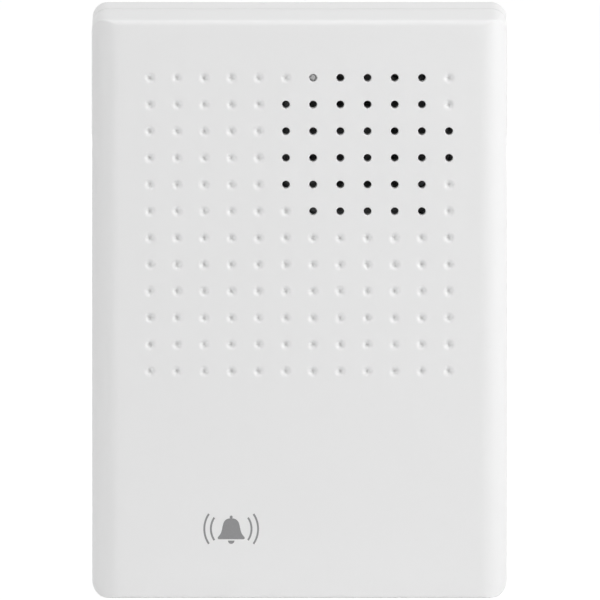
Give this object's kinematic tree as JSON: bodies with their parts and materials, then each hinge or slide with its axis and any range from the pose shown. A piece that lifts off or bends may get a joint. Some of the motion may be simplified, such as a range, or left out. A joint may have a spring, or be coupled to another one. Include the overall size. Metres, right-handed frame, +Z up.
{
  "type": "door chime",
  "caption": "White wall-mounted wired door chime: a two-part moulded case with a dimpled grille, a small loudspeaker, and a sound board with screw terminals.",
  "frame": {"origin": "centre of the flat back face, on the wall", "axes": "+Z up the wall, -Y out of the wall towards the room, +X to the right as seen from the room"},
  "size_m": [0.065, 0.026, 0.0912],
  "materials": {
    "case_plastic": "satin",
    "gasket_foam": "matte",
    "basket_steel": "satin",
    "surround_film": "satin",
    "plated_steel": "satin",
    "ferrite": "matte",
    "hard_paper": "matte",
    "tinned_brass": "satin",
    "hot_melt": "satin",
    "cone_paper": "matte",
    "former_paper": "matte",
    "copper": "satin",
    "wire_red": "satin",
    "wire_black": "satin",
    "board_laminate": "satin",
    "epoxy": "gloss",
    "can_sleeve": "gloss",
    "moulded_black": "matte",
    "resistor_body": "satin",
    "disc_glaze": "gloss",
    "terminal_plastic": "satin"
  },
  "bodies": {
    "wall_side": {"back_cover": "case_plastic"},
    "front": {"front_cover": "case_plastic", "speaker_gasket": "gasket_foam", "speaker_basket": "basket_steel", "speaker_surround": "surround_film", "speaker_top_plate": "plated_steel", "speaker_magnet": "ferrite", "speaker_yoke": "plated_steel", "speaker_tag_board": "hard_paper", "speaker_lugs": "tinned_brass", "speaker_glue": "hot_melt", "speaker_wire_red": "wire_red", "speaker_wire_black": "wire_black", "circuit_board": "board_laminate", "board_screws": "plated_steel", "melody_chip": "epoxy", "filter_capacitor": "can_sleeve", "coupling_capacitor": "can_sleeve", "driver_transistor": "moulded_black", "zener_diode": "moulded_black", "resistors": "resistor_body", "ceramic_capacitors": "disc_glaze", "terminal_housing": "terminal_plastic", "contact_bars": "tinned_brass"},
    "cone": {"speaker_cone": "cone_paper", "dust_cap": "cone_paper", "coil_former": "former_paper", "voice_coil": "copper"},
    "screw_1": {"terminal_screw_1": "plated_steel"},
    "screw_2": {"terminal_screw_2": "plated_steel"},
    "screw_3": {"terminal_screw_3": "plated_steel"},
    "screw_4": {"terminal_screw_4": "plated_steel"},
    "cage_1": {"clamp_cage_1": "plated_steel"},
    "cage_2": {"clamp_cage_2": "plated_steel"},
    "cage_3": {"clamp_cage_3": "plated_steel"},
    "cage_4": {"clamp_cage_4": "plated_steel"}
  },
  "joints": [
    {"name": "cover_pull", "type": "slide", "parent": "wall_side", "child": "front", "axis": [0, -1, 0], "range_m": [0, 0.04]},
    {"name": "cone_stroke", "type": "slide", "parent": "front", "child": "cone", "axis": [0, -1, 0], "range_m": [-0.0005, 0.0005], "stiffness_N_per_m": 800},
    {"name": "screw_turn_1", "type": "hinge", "parent": "front", "child": "screw_1", "pos_m": [-0.0135, 0, -0.0114], "axis": [0, -1, 0], "range_deg": [0, 1440]},
    {"name": "screw_turn_2", "type": "hinge", "parent": "front", "child": "screw_2", "pos_m": [-0.0085, 0, -0.0114], "axis": [0, -1, 0], "range_deg": [0, 1440]},
    {"name": "screw_turn_3", "type": "hinge", "parent": "front", "child": "screw_3", "pos_m": [-0.0035, 0, -0.0114], "axis": [0, -1, 0], "range_deg": [0, 1440]},
    {"name": "screw_turn_4", "type": "hinge", "parent": "front", "child": "screw_4", "pos_m": [0.0015, 0, -0.0114], "axis": [0, -1, 0], "range_deg": [0, 1440]},
    {"name": "cage_lift_1", "type": "slide", "parent": "front", "child": "cage_1", "axis": [0, 1, 0], "range_m": [0, 0.0018]},
    {"name": "cage_lift_2", "type": "slide", "parent": "front", "child": "cage_2", "axis": [0, 1, 0], "range_m": [0, 0.0018]},
    {"name": "cage_lift_3", "type": "slide", "parent": "front", "child": "cage_3", "axis": [0, 1, 0], "range_m": [0, 0.0018]},
    {"name": "cage_lift_4", "type": "slide", "parent": "front", "child": "cage_4", "axis": [0, 1, 0], "range_m": [0, 0.0018]}
  ],
  "couplings": [
    {"joint": "screw_turn_1", "follows": "cage_lift_1", "rad_per_m": 13963},
    {"joint": "screw_turn_2", "follows": "cage_lift_2", "rad_per_m": 13963},
    {"joint": "screw_turn_3", "follows": "cage_lift_3", "rad_per_m": 13963},
    {"joint": "screw_turn_4", "follows": "cage_lift_4", "rad_per_m": 13963}
  ]
}
